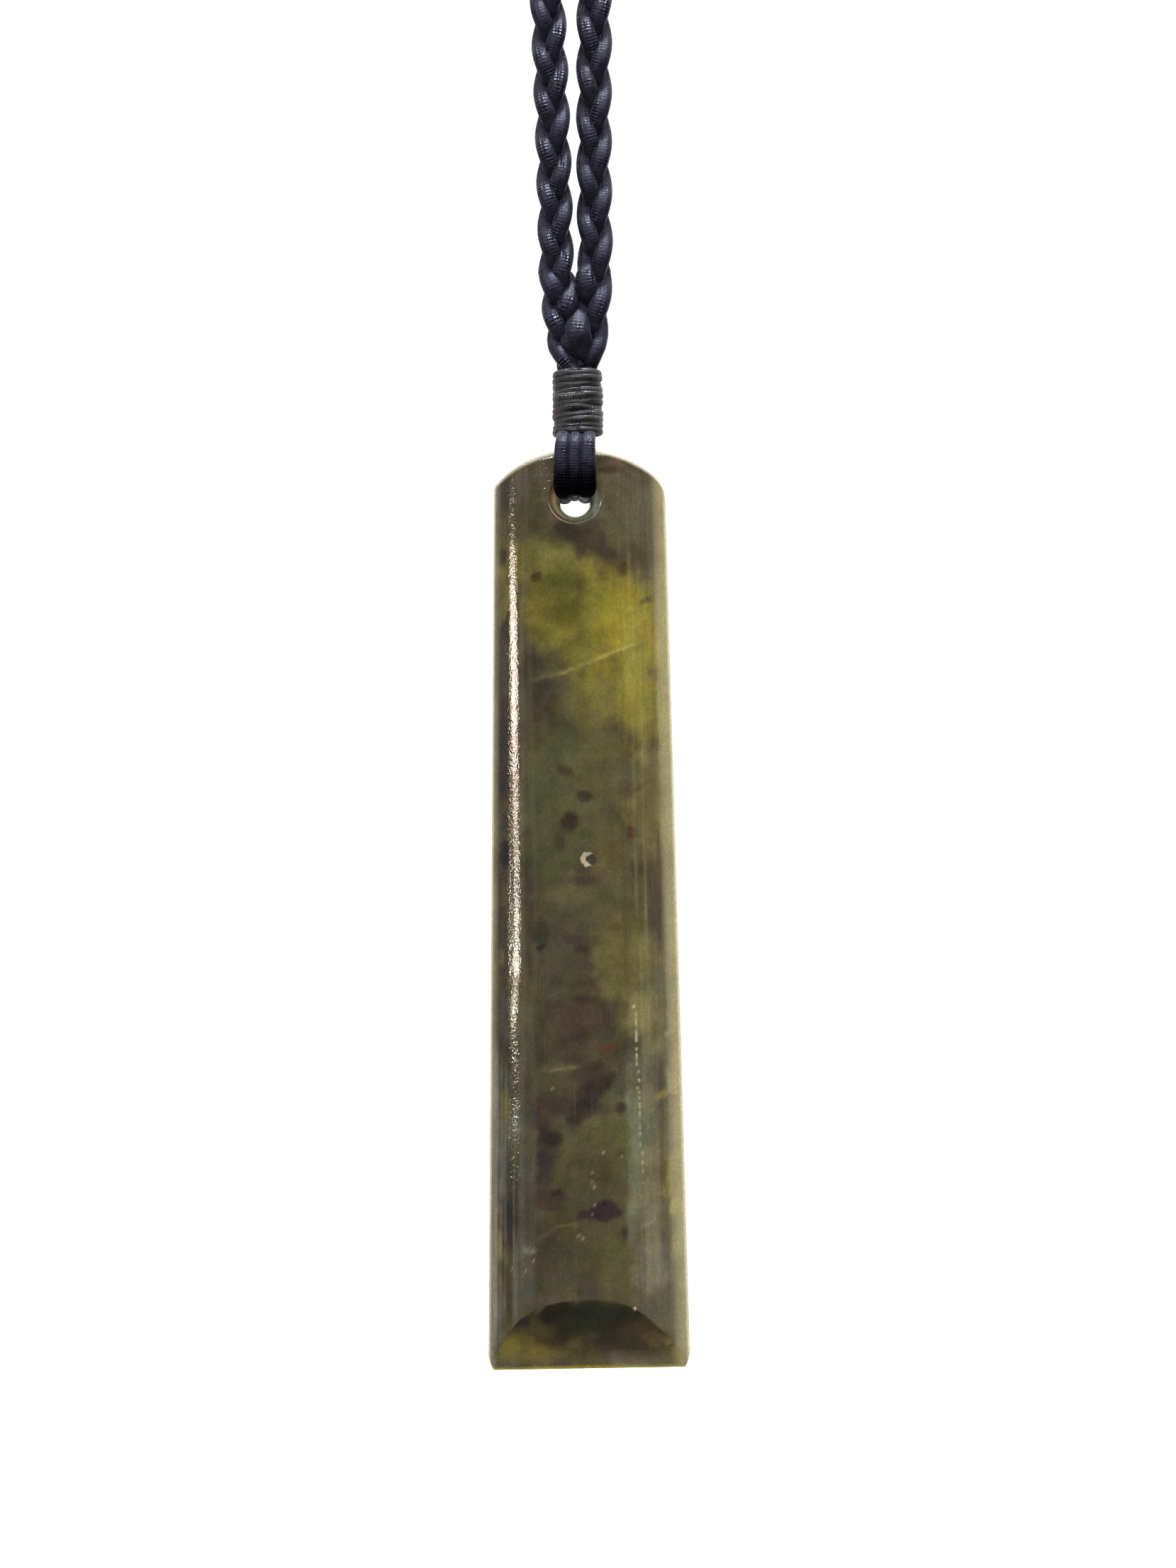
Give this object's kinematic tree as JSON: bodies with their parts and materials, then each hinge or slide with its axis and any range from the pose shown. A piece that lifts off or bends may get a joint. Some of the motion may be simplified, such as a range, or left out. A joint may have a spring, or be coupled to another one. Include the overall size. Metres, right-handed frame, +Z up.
{
  "type": "toki adze pendant",
  "caption": "Polished stone adze-shaped pendant with a front bevel, lashed through a drilled hole to a plaited cord neck loop, shown hanging.",
  "frame": {"origin": "inside of the top of the neck loop, where the pendant hangs", "axes": "+Z up, -Y towards the viewer of the stone's crowned front, +X to that viewer's right"},
  "size_m": [0.0192, 0.0057, 0.4175],
  "materials": {
    "stone": "polished",
    "plait": "waxed plait",
    "thread": "waxed whipping"
  },
  "bodies": {
    "cord": {"neck_plait": "plait", "plait_yoke": "plait", "binding": "thread", "hole_strand_left": "plait", "hole_strand_middle": "plait", "hole_strand_right": "plait"},
    "stone": {"toki_stone": "stone"}
  },
  "joints": [
    {"name": "stone_swing", "type": "hinge", "parent": "cord", "child": "stone", "pos_m": [-0.0003, 0, -0.35836], "axis": [0, 1, 0], "range_deg": [-15, 15]}
  ]
}
